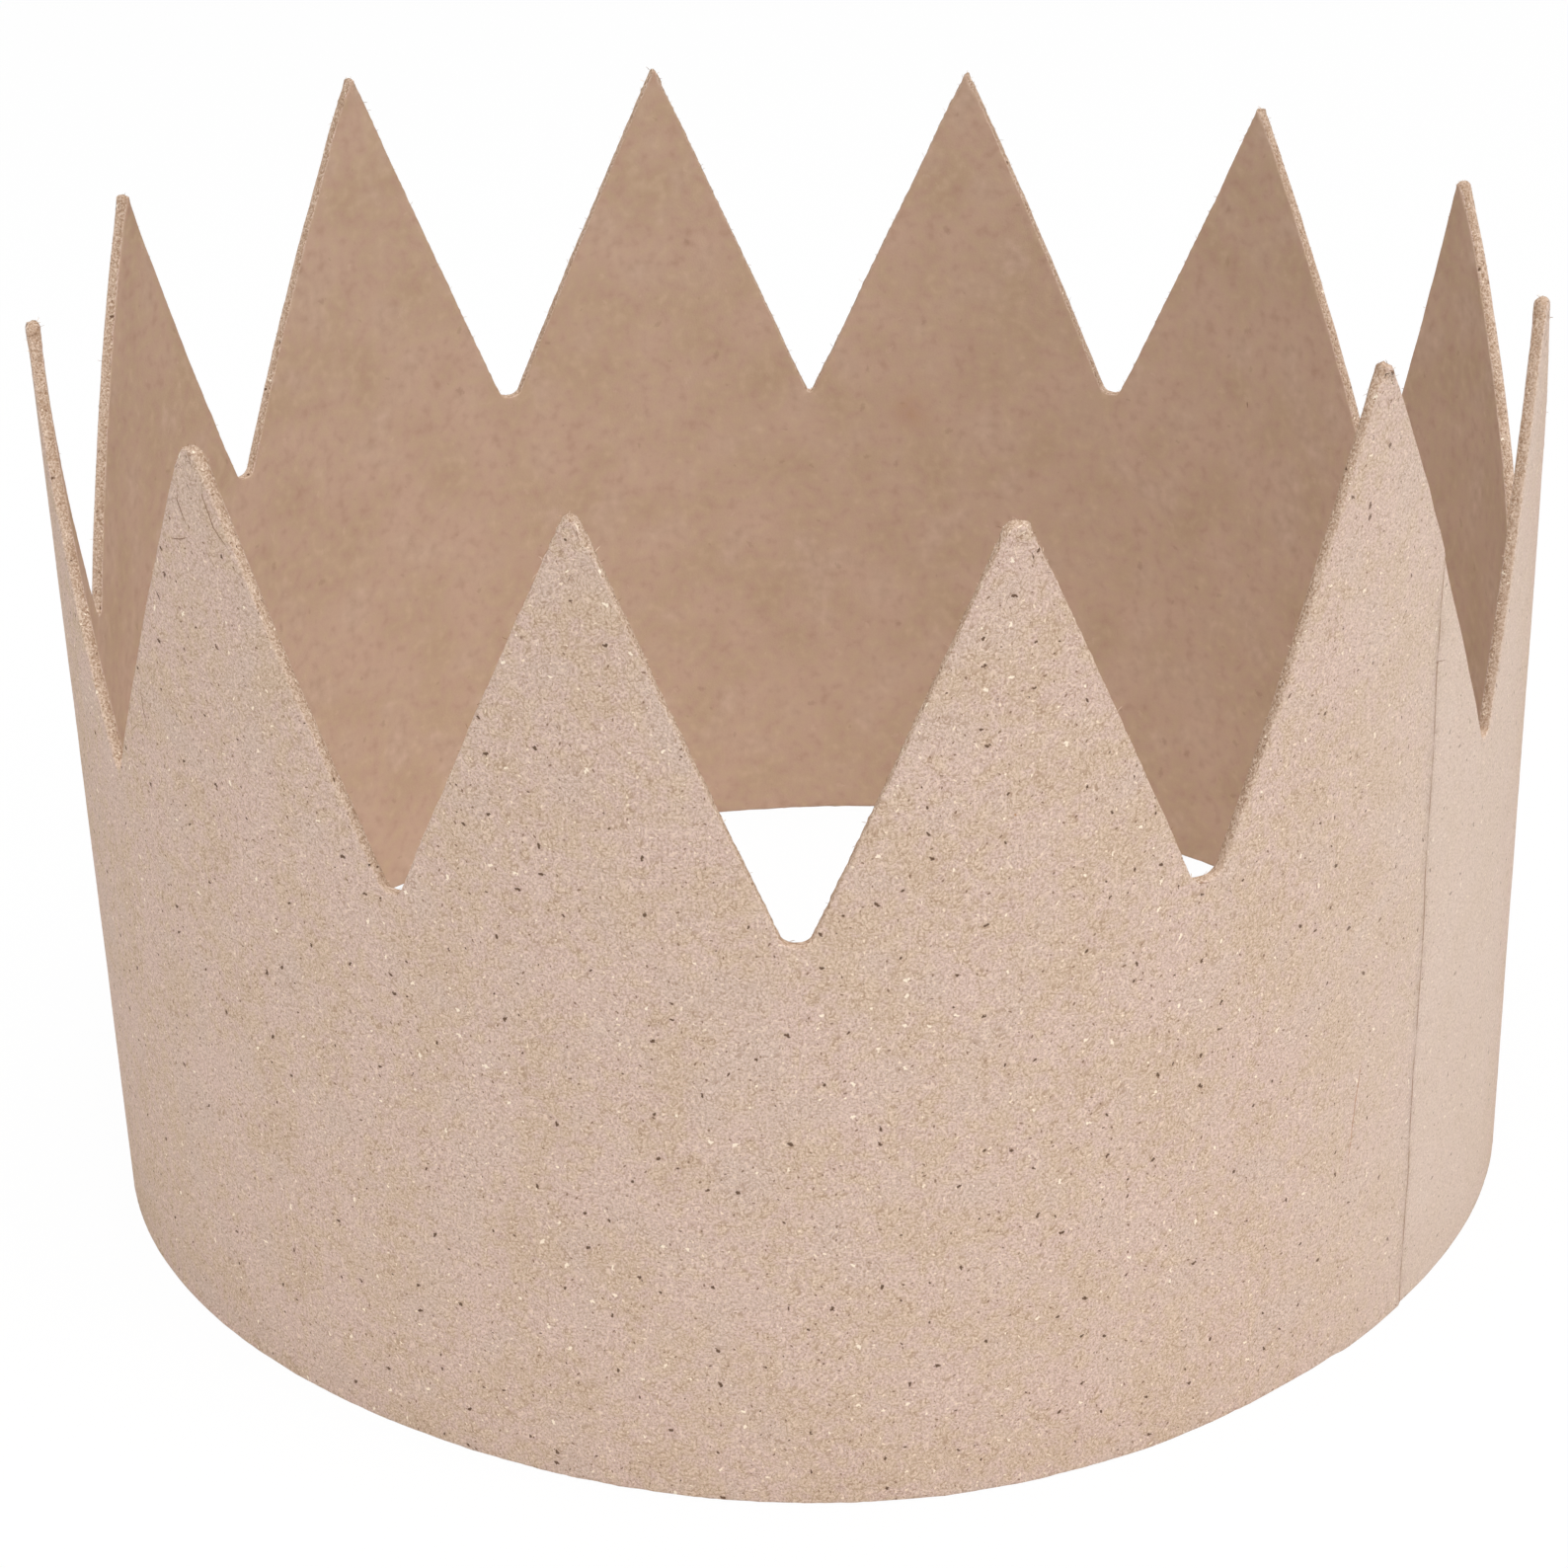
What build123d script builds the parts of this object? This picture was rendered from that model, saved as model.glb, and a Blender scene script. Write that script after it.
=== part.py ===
from build123d import *
import math
import os

# Crown cut from one strip of grey-brown board and rolled into a band.
# Millimetres and degrees. +Z is up, the lower rim lies on z = 0 and the band's axis is the Z axis.
# The front of the crown looks along -Y. Angles run counter-clockwise from +X, seen from above.

# The band
band_diameter = 185.0
board_thickness = 1.5

# The cut pattern
point_count = 12
first_point_angle = -76.1
point_height = 120.0
notch_height = 73.0

# Corner radii, each as a share of the width between the two corners
tip_corner_share = 0.70
floor_corner_share = 0.60

# The glued lap, where the strip's outer end climbs over its inner end and stops in a step
lap_end_angle = -38.0
lap_width = 14.8
lap_rise = 0.35
lap_ramp = 2.5

# The rolled band is a little out of round: waves in one turn, height of a wave, angle of a crest
band_waves = [
    (2, 0.45, 170.0),
    (3, 0.60, 39.0),
    (4, 0.45, 90.0),
    (5, 0.50, 62.0),
]

# The points were cut by hand, so each differs from the even pattern:
# turn round the band in degrees, extra height, width of the blunt tip
point_cuts = [
    (0.0, -1.6, 2.1),
    (-0.2, 5.9, 1.0),
    (-2.0, 0.8, 1.4),
    (2.1, -0.2, 1.0),
    (-0.8, 0.5, 0.6),
    (-1.0, 0.6, 0.5),
    (-1.6, 2.2, 0.5),
    (-1.9, 7.0, 0.7),
    (-2.5, 1.6, 0.6),
    (-1.6, 0.0, 1.8),
    (0.4, -0.8, 2.4),
    (1.8, -0.1, 1.3),
]

# Each notch lies between its point and the next one:
# turn round the band in degrees, extra height, width of the floor
notch_cuts = [
    (-0.7, -0.1, 3.5),
    (2.9, -1.4, 2.0),
    (-1.3, 0.3, 0.9),
    (-2.2, -1.4, 1.2),
    (-0.5, 0.8, 2.6),
    (-0.6, -1.8, 0.8),
    (-0.9, 2.1, 2.7),
    (-0.5, 1.9, 2.8),
    (-1.8, -0.7, 2.2),
    (-0.4, -0.6, 1.4),
    (1.3, -0.4, 2.0),
    (0.4, -0.7, 2.6),
]

# Worked out from the sizes above
band_radius = band_diameter / 2
pitch = 360 / point_count
pitch_length = band_radius * math.radians(pitch)
blank_height = point_height + max(rise for turn, rise, width in point_cuts) + board_thickness

# How far the cutters reach past the board, and how far the tip cutter stands off a point's sides
cut_reach = 2 * board_thickness + lap_rise + sum(height for count, height, crest in band_waves)
near_side = (band_radius - board_thickness) * math.cos(math.radians(pitch)) - cut_reach
far_side = band_radius + cut_reach
clear_top = blank_height + cut_reach
side_gap = 0.08

# Places along the outer face that its curve runs through
face_steps = 4 * point_count
lap_steps = 4


def as_angle(length):
    # The angle that a length along the outer face takes up.
    return math.degrees(length / band_radius)


def as_length(angle):
    # The length along the outer face that an angle takes up.
    return band_radius * math.radians(angle)


def face_point(angle, offset):
    # A place on the outer face, or off it by an offset that is positive outwards.
    radius = band_radius + offset
    for count, height, crest in band_waves:
        radius += height * math.cos(math.radians(count * (angle - crest)))
    return (radius * math.cos(math.radians(angle)), radius * math.sin(math.radians(angle)))


def face_line(start, end, steps, offset):
    # Evenly spaced places along the outer face, from one angle to another.
    return [face_point(start + (end - start) * step / steps, offset) for step in range(steps + 1)]


def point_at(index):
    # Angle, height and half the tip's width in degrees, for one point.
    turn, rise, width = point_cuts[index % len(point_cuts)]
    return first_point_angle + index * pitch + turn, point_height + rise, as_angle(width / 2)


def notch_at(index):
    # Angle, height and half the floor's width in degrees, for the notch that follows a point.
    turn, rise, width = notch_cuts[index % len(notch_cuts)]
    return first_point_angle + (index + 0.5) * pitch + turn, notch_height + rise, as_angle(width / 2)


def outward_plane(angle, distance):
    # An upright plane at a distance from the axis, its X to the right and its Y up, seen from outside.
    outward = Vector(1, 0, 0).rotate(Axis.Z, angle)
    return Plane(origin=outward * distance, x_dir=outward.rotate(Axis.Z, 90), z_dir=outward)


def across(distance, angle):
    # How far to the side an angle lies in a plane at a distance from the axis.
    return distance * math.tan(math.radians(angle))


def cut_angle(notch, side, height):
    # The angle at a height on one side of a notch, a straight cut from the floor's corner to the tip's.
    # Side -1 is the left one, which belongs to the notch's own point, and 1 the next point's.
    middle, floor_height, half_floor = notch_at(notch)
    tip_angle, tip_height, half_tip = point_at(notch if side < 0 else notch + 1)
    floor = across(1, side * half_floor)
    tip = across(1, tip_angle - side * half_tip - middle)
    share = (height - floor_height) / (tip_height - floor_height)
    return middle + math.degrees(math.atan(floor + (tip - floor) * share))


with BuildPart() as crown_band:
    # The rolled strip
    with BuildSketch():
        with BuildLine():
            Spline(*face_line(0, 360, face_steps, 0)[:-1], periodic=True)
        make_face()
        with BuildLine():
            Spline(*face_line(0, 360, face_steps, -board_thickness)[:-1], periodic=True)
        make_face(mode=Mode.SUBTRACT)

        # The lap's outer end
        lap_start_angle = lap_end_angle - as_angle(lap_width)
        lap_top_angle = lap_start_angle + as_angle(lap_ramp)
        with BuildLine():
            lap_top = Spline(*face_line(lap_top_angle, lap_end_angle, lap_steps, lap_rise))
            Polyline(
                lap_top @ 1,
                face_point(lap_end_angle, -board_thickness / 2),
                face_point(lap_start_angle, -board_thickness / 2),
                face_point(lap_start_angle, 0),
                lap_top @ 0,
            )
        make_face()
    extrude(amount=blank_height)

    # The notches, whose sides point to the axis, as those of a cut made square to the strip
    for index in range(point_count):
        middle, floor_height, half_floor = notch_at(index)
        for distance in (near_side, far_side):
            with BuildSketch(outward_plane(middle, distance)):
                with BuildLine():
                    Polyline(
                        (across(distance, cut_angle(index, -1, clear_top) - middle), clear_top),
                        (across(distance, -half_floor), floor_height),
                        (across(distance, half_floor), floor_height),
                        (across(distance, cut_angle(index, 1, clear_top) - middle), clear_top),
                        close=True,
                    )
                make_face()
                floor_corners = vertices().group_by(Axis.Y)[0]
                fillet(floor_corners, radius=floor_corner_share * 2 * across(distance, half_floor))
        loft(ruled=True, mode=Mode.SUBTRACT)

    # The blunt tips, with their corners rounded
    for index in range(point_count):
        middle, tip_height, half_tip = point_at(index)
        tip_width = as_length(2 * half_tip)
        base = tip_height - 2 * tip_width
        left_base = across(band_radius, cut_angle(index - 1, 1, base) - middle) - side_gap
        right_base = across(band_radius, cut_angle(index, -1, base) - middle) + side_gap
        left_top = -tip_width / 2 - side_gap
        right_top = tip_width / 2 + side_gap
        with BuildSketch(outward_plane(middle, near_side)):
            with Locations((0, base)):
                Rectangle(pitch_length / 2, clear_top - base, align=(Align.CENTER, Align.MIN))
            with BuildLine():
                Polyline(
                    (left_base, base),
                    (left_top, tip_height),
                    (right_top, tip_height),
                    (right_base, base),
                    close=True,
                )
            make_face(mode=Mode.SUBTRACT)
            for corner in ((left_top, tip_height), (right_top, tip_height)):
                fillet(vertices().sort_by_distance(corner)[0], radius=tip_corner_share * tip_width)
        extrude(amount=far_side - near_side, mode=Mode.SUBTRACT)

crown_band.part.label = "crown_band"
print("crown_band", round(crown_band.part.volume / 1000, 2), "cm3")

os.makedirs("parts", exist_ok=True)
export_step(crown_band.part, "parts/crown_band.step")
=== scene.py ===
import math
import random
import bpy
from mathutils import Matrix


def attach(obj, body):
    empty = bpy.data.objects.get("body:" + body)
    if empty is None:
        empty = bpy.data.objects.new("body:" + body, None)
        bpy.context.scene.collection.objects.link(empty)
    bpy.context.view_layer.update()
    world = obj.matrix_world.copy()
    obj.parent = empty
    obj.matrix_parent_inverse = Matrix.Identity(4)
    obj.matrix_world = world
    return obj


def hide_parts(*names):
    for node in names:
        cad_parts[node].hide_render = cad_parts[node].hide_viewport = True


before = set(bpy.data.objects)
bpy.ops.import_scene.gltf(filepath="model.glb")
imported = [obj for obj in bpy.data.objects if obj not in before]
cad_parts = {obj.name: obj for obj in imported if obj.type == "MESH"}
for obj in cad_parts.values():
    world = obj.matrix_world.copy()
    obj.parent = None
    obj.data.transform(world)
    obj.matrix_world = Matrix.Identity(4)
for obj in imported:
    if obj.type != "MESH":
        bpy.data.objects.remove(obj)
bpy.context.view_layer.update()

from types import SimpleNamespace

import bpy
from mathutils import Matrix, Vector
from mathutils.bvhtree import BVHTree
from mathutils.geometry import delaunay_2d_cdt, intersect_point_line
from mathutils.kdtree import KDTree

# A crown of brown recycled board: one strip, cut into twelve points and rolled into a band.
# Metres. The front looks along -Y. Angles run counter-clockwise from +X, seen from above.

mm = 0.001

band = {
    "radius": 92.5 * mm,  # of the outer face
    "thickness": 1.5 * mm,
    "pointCount": 12,
    "firstPoint": -76.1,  # angle of the point to the right of the front notch
    "pointHeight": 120.0 * mm,
    "notchHeight": 73.0 * mm,
    "tipCornerShare": 0.70,  # corner radius of a tip, as a share of its width
    "floorCornerShare": 0.60,  # and of a notch floor
}

# turn in degrees, extra height and tip width in millimetres
pointCuts = [
    (0.0, -1.6, 2.1), (-0.2, 5.9, 1.0), (-2.0, 0.8, 1.4), (2.1, -0.2, 1.0),
    (-0.8, 0.5, 0.6), (-1.0, 0.6, 0.5), (-1.6, 2.2, 0.5), (-1.9, 7.0, 0.7),
    (-2.5, 1.6, 0.6), (-1.6, 0.0, 1.8), (0.4, -0.8, 2.4), (1.8, -0.1, 1.3),
]

# the notch after each point: turn in degrees, extra height and floor width in millimetres
notchCuts = [
    (-0.7, -0.1, 3.5), (2.9, -1.4, 2.0), (-1.3, 0.3, 0.9), (-2.2, -1.4, 1.2),
    (-0.5, 0.8, 2.6), (-0.6, -1.8, 0.8), (-0.9, 2.1, 2.7), (-0.5, 1.9, 2.8),
    (-1.8, -0.7, 2.2), (-0.4, -0.6, 1.4), (1.3, -0.4, 2.0), (0.4, -0.7, 2.6),
]

# waves in one turn, height in millimetres, angle of a crest
bandWaves = [(2, 0.45, 170.0), (3, 0.60, 39.0), (4, 0.45, 90.0), (5, 0.50, 62.0)]

# the glued lap, where the strip's outer end stops in a step
lap = {
    "end": -38.0,  # angle
    "width": 14.8 * mm,
    "rise": 0.35 * mm,
    "ramp": 2.5 * mm,
    "step": 0.12 * mm,
    "wander": 1.3 * mm,  # how far its end strays from a straight line
    "wanderSize": 16.0 * mm,
    "wanderReach": (2.0 * mm, 9.0 * mm),  # the board follows it up to the first, and not past the second
    "seamReach": 20.0 * mm,  # how far from its end the board still tells how near the seam is
    "smoothEdge": (0.2 * mm, -0.4 * mm),  # across its end, where the board turns smooth and paler with painted light
    "smoothLead": (32.0 * mm, 0.55),  # how far before its end that begins, and the share it gets to
    "smoothFade": (54.0 * mm, 21.6 * mm),  # past its end, where the smooth board with its painted light ends and starts to fade
}

# how finely the flat pattern is divided
pattern = {
    "cutStep": 0.62 * mm,  # along the zig-zag
    "rimStep": 0.85 * mm,  # along the lower rim
    "fieldStep": 2.05 * mm,  # inside the board
    "arcStep": 14.0,  # degrees between places on a rounded corner
    # rings of places behind the edge: distance, and for every how many places of the edge
    "rings": [(0.40 * mm, 1), (0.95 * mm, 2), (1.80 * mm, 3)],
    "ringClear": 0.96,  # share of its distance that a ring's place keeps from the whole edge
    "sideClear": 0.55,  # shares of a field step, kept free beside a point's sides and the last ring
    "lapClear": 0.6,  # and beside the lap's lines
    "lapEnds": (0.30 * mm, 0.25 * mm),  # gap between those lines and the rounding, below and above
    "sameGap": 1e-7,  # places closer than this are one
}

# how a cut edge is rounded
edge = {
    "rounding": 0.40 * mm,
    "rows": [0.0, 0.10, 0.22, 0.38, 0.57, 0.78, 1.0],  # round it, from its middle to the board's face
    "wornExtra": 0.85,  # how much further a worn tip is rounded
    "shrink": 0.8,  # a rounding that doesn't fit in a narrow tip shrinks in these steps
    "least": 0.02 * mm,
    "probe": (1.15, 1.11),  # it fits if a place this many roundings in is that many from the cut
}

# how the board is worn and uneven; each value is an input of the tree that rolls it
boardFinish = {
    "edgeSquareness": 3.2,
    "cutGrain": 0.22 * mm,
    "grainSize": 0.55 * mm,
    "grainReach": 1.6 * mm,  # how far behind the cut its grain shows in the faces
    "grainProud": 0.7,  # how much of it lifts them
    "edgeSway": 0.5 * mm,
    "swaySize": 8.0 * mm,
    "tipWear": 1.9,  # how much rougher the cut is at the tips
    "wearStart": 1.0 * mm,
    "wearEnd": 7.0 * mm,
    "tipSwell": 0.20,  # how much thicker the worn tips are
    "tipSquareness": 2.0,
    "wornReach": 5.0 * mm,
    "unevenness": 0.25 * mm,
    "unevenSize": 24.0 * mm,
    "pebble": 0.05 * mm,
    "pebbleSize": 2.2 * mm,
    "cloudSize": 9.0 * mm,  # of the faint patches of tone
    "innerMapShift": 0.3,  # moves the inner face's pattern away from the outer face's
    "mergeGap": 0.002 * mm,
    "seed": 3.0,
}

# patches that the material reads: how much finer than a cloud, detail, roughness
boardClouds = {"cloud": (1.0, 2.0, 0.5), "veil": (1.5, 2.0, 0.5), "ragged": (4.0, 3.0, 0.6)}

# a faint stain on the inner face
innerStain = {"angle": 78.4, "height": 68.1, "size": 4.5 * mm}


def cutAt(index, cuts, firstAngle, height):
    # place along the strip, height and width of a point or of a notch
    turn, rise, width = cuts[index % len(cuts)]
    angle = firstAngle + turn
    return math.radians(angle) * band["radius"], height + rise * mm, width * mm


def pointAt(index):
    angle = band["firstPoint"] + index * 360 / band["pointCount"]
    return cutAt(index, pointCuts, angle, band["pointHeight"])


def notchAt(index):
    angle = band["firstPoint"] + (index + 0.5) * 360 / band["pointCount"]
    return cutAt(index, notchCuts, angle, band["notchHeight"])


def flatPlace(angle, height):
    # a place on the flat pattern, from its angle and its height in millimetres
    return Vector((math.radians(angle) * band["radius"], height * mm, 0))


def evenSteps(start, end, step):
    # places from start up to, but not at, end
    count = max(1, math.ceil((end - start).length / step))
    return [start.lerp(end, i / count) for i in range(count)]


def cutLine(corners, radii):
    # places along a line with rounded corners, each with the direction into the board below it
    stops = [(corners[0], corners[0], None)]
    for before, corner, after, radius in zip(corners, corners[1:], corners[2:], radii):
        arrive = (corner - before).normalized()
        leave = (after - corner).normalized()
        turn = arrive.angle_signed(leave)  # clockwise is positive
        reach = radius * math.tan(abs(turn) / 2)
        stops.append((corner - arrive * reach, corner + leave * reach, (arrive, turn, radius)))
    stops.append((corners[-1], corners[-1], None))
    places = []
    for here, there in zip(stops, stops[1:]):
        if here[2]:
            arrive, turn, radius = here[2]
            side = Vector((arrive.y, -arrive.x)) * math.copysign(1, turn)
            middle = here[0] + side * radius
            count = max(2, math.ceil(abs(math.degrees(turn)) / pattern["arcStep"]))
            for i in range(count):
                spin = Matrix.Rotation(-turn * i / count, 2)
                along = spin @ arrive
                places.append((middle - (spin @ side) * radius, Vector((along.y, -along.x))))
        along = (there[0] - here[1]).normalized()
        inward = Vector((along.y, -along.x))
        places += [(place, inward) for place in evenSteps(here[1], there[0], pattern["cutStep"])]
    places.append((corners[-1], Vector((0, -1))))
    places[0] = (corners[0], Vector((0, -1)))
    return places


def gapTo(place, line):
    # how far a place lies from a line of places
    gaps = []
    for (start, _), (end, _) in zip(line, line[1:]):
        share = intersect_point_line(place, start, end)[1]
        gaps.append((start.lerp(end, min(1, max(0, share))) - place).length)
    return min(gaps)


def nearestOf(line):
    # a function that tells how far a place is from the nearest one of a line, which is quicker
    tree = KDTree(len(line))
    for i, (place, _) in enumerate(line):
        tree.insert((place.x, place.y, 0), i)
    tree.balance()
    return lambda place: tree.find((place.x, place.y, 0))[2]


def edgeRooms(line, tipY, edgeGap):
    # how far the rounding reaches behind each place of a cut, which is less in a narrow tip
    further, clear = edge["probe"]
    rooms = []
    for place, inward in line:
        wear = max(0, 1 - (tipY - place.y) / boardFinish["wornReach"])
        room = edge["rounding"] * (1 + edge["wornExtra"] * wear)
        while room > edge["least"]:
            inner = place + inward * room * further
            gap = gapTo(inner, line) if wear else edgeGap(inner)
            if gap > clear * room:
                break
            room *= edge["shrink"]
        rooms.append(room)
    return rooms


def storeLayers(mesh, layers):
    # keeps a value for each place of a mesh: name, kind and values
    fields = {"FLOAT": "value", "FLOAT_VECTOR": "vector", "FLOAT_COLOR": "color"}
    for name, kind, values in layers:
        mesh.attributes.new(name, kind, "POINT").data.foreach_set(fields[kind], values)


class FlatBoard:
    # collects the cut pattern, laid flat: X along the strip, Y up
    def __init__(self):
        self.places = []
        self.faces = []
        self.inward = []
        self.rowTurn = []
        self.edgeRoom = []
        self.edgeDist = []
        self.tipDrop = []
        self.cuts = []  # places along the cuts, with the direction into the board and the drop from the tip

    def add(self, place, tipY, inward=Vector((0, 0)), rowTurn=1.0, room=1.0, dist=0.0):
        self.places.append((place.x, place.y, 0))
        self.inward += (inward.x, inward.y, 0)
        self.rowTurn.append(rowTurn)
        self.edgeRoom.append(room)
        self.edgeDist.append(dist)
        self.tipDrop.append(tipY - place.y)
        return len(self.places) - 1

    def addEdge(self, line, rooms, tipY, upward):
        # the rows round a cut edge, and the numbers of the last row, on the board's face
        rows = []
        for turn in edge["rows"]:
            rows.append([
                self.add(place, tipY, inward, turn, room) for (place, inward), room in zip(line, rooms)
            ])
        for outer, inner in zip(rows, rows[1:]):
            low, high = (inner, outer) if upward else (outer, inner)
            for i in range(len(line) - 1):
                self.faces.append((low[i], low[i + 1], high[i + 1], high[i]))
        return rows[-1]

    def mesh(self, name):
        made = bpy.data.meshes.new(name)
        made.from_pydata(self.places, [], self.faces)
        storeLayers(made, (
            ("inward", "FLOAT_VECTOR", self.inward), ("rowTurn", "FLOAT", self.rowTurn),
            ("edgeRoom", "FLOAT", self.edgeRoom), ("edgeDist", "FLOAT", self.edgeDist),
            ("tipDrop", "FLOAT", self.tipDrop),
        ))
        return made


def sideHeights(top):
    # heights between the rim and the notch floor, the same for both points that meet there
    low = edge["rounding"]
    high = top - edge["rounding"]
    count = round((high - low) / pattern["fieldStep"])
    return [low + (high - low) * i / count for i in range(1, count)]


def addPoint(board, index):
    # one point with the band below it, from the middle of one notch to the middle of the next
    leftX, leftY, leftWidth = notchAt(index - 1)
    rightX, rightY, rightWidth = notchAt(index)
    tipX, tipY, tipWidth = pointAt(index)
    corners = [Vector(c) for c in (
        (leftX, leftY), (leftX + leftWidth / 2, leftY), (tipX - tipWidth / 2, tipY),
        (tipX + tipWidth / 2, tipY), (rightX - rightWidth / 2, rightY), (rightX, rightY),
    )]
    tipRadius = band["tipCornerShare"] * tipWidth
    leftRadius, rightRadius = (band["floorCornerShare"] * width for width in (leftWidth, rightWidth))
    line = cutLine(corners, [leftRadius, tipRadius, tipRadius, rightRadius])
    board.cuts += [(place, inward, tipY - place.y) for place, inward in line]
    rimStart, rimEnd, up = Vector((leftX, 0)), Vector((rightX, 0)), Vector((0, 1))
    rim = [(place, up) for place in (*evenSteps(rimStart, rimEnd, pattern["rimStep"]), rimEnd)]
    edgeGap = nearestOf(line + rim)
    rounding = edge["rounding"]
    rooms = edgeRooms(line, tipY, edgeGap)
    topRow = board.addEdge(line, rooms, tipY, True)
    rimRow = board.addEdge(rim, [rounding] * len(rim), tipY, False)

    # the outline of the face inside the rounded edges, clockwise, with the numbers of places made before
    outline = [(place + inward * room, made) for (place, inward), room, made in zip(line, rooms, topRow)]
    outline += [(Vector((rightX, y)), None) for y in reversed(sideHeights(rightY))]
    outline += reversed([(place + inward * rounding, made) for (place, inward), made in zip(rim, rimRow)])
    outline += [(Vector((leftX, y)), None) for y in sideHeights(leftY)]
    spots = [spot for spot, _ in outline]
    loop = [(i, (i + 1) % len(spots)) for i in range(len(spots))]

    # rings of places behind the edge
    step = pattern["fieldStep"]
    sideGap = step * pattern["sideClear"]

    def freePlace(place, gap):
        return leftX + sideGap < place.x < rightX - sideGap and edgeGap(place) > gap

    for ring, every in pattern["rings"]:
        gap = rounding + ring
        for place, inward in line[::every] + rim[::every]:
            inner = place + inward * gap
            if freePlace(inner, gap * pattern["ringClear"]):
                spots.append(inner)

    # two lines up the board, where the lap's step stands
    lapX = math.radians(lap["end"]) * band["radius"]
    below, above = pattern["lapEnds"]
    lapLines = []
    if leftX < lapX < rightX:
        for x in (lapX - lap["step"] / 2, lapX + lap["step"] / 2):
            start = len(spots)
            y = rounding + below
            while edgeGap(Vector((x, y))) > rounding + above:
                spots.append(Vector((x, y)))
                y += step / 2
            lapLines += [(i, i + 1) for i in range(start, len(spots) - 1)]

    # an even field of places inside the rings
    rowStep = step * math.sqrt(3) / 2
    lastGap = rounding + pattern["rings"][-1][0] + sideGap
    for row in range(math.ceil(tipY / rowStep)):
        x = leftX + (row % 2) * step / 2
        while x < rightX:
            place = Vector((x, row * rowStep))
            onLap = lapLines and abs(x - lapX) < step * pattern["lapClear"]
            if freePlace(place, lastGap) and not onLap:
                spots.append(place)
            x += step

    made = delaunay_2d_cdt(spots, loop + lapLines, [], 1, pattern["sameGap"])
    newPlaces, newFaces, sources = made[0], made[2], made[3]
    used = {i for face in newFaces for i in face}
    kept = {}
    for number, (place, source) in enumerate(zip(newPlaces, sources)):
        known = [outline[i][1] for i in source if i < len(outline) and outline[i][1] is not None]
        if known:
            kept[number] = known[0]
        elif number in used:
            kept[number] = board.add(place, tipY, dist=edgeGap(place))
    board.faces += [tuple(kept[i] for i in face) for face in newFaces]


def label(key):
    # the name that a socket shows: bandRadius becomes Band Radius
    return key[0].upper() + "".join(" " + letter if letter.isupper() else letter for letter in key[1:])


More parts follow.
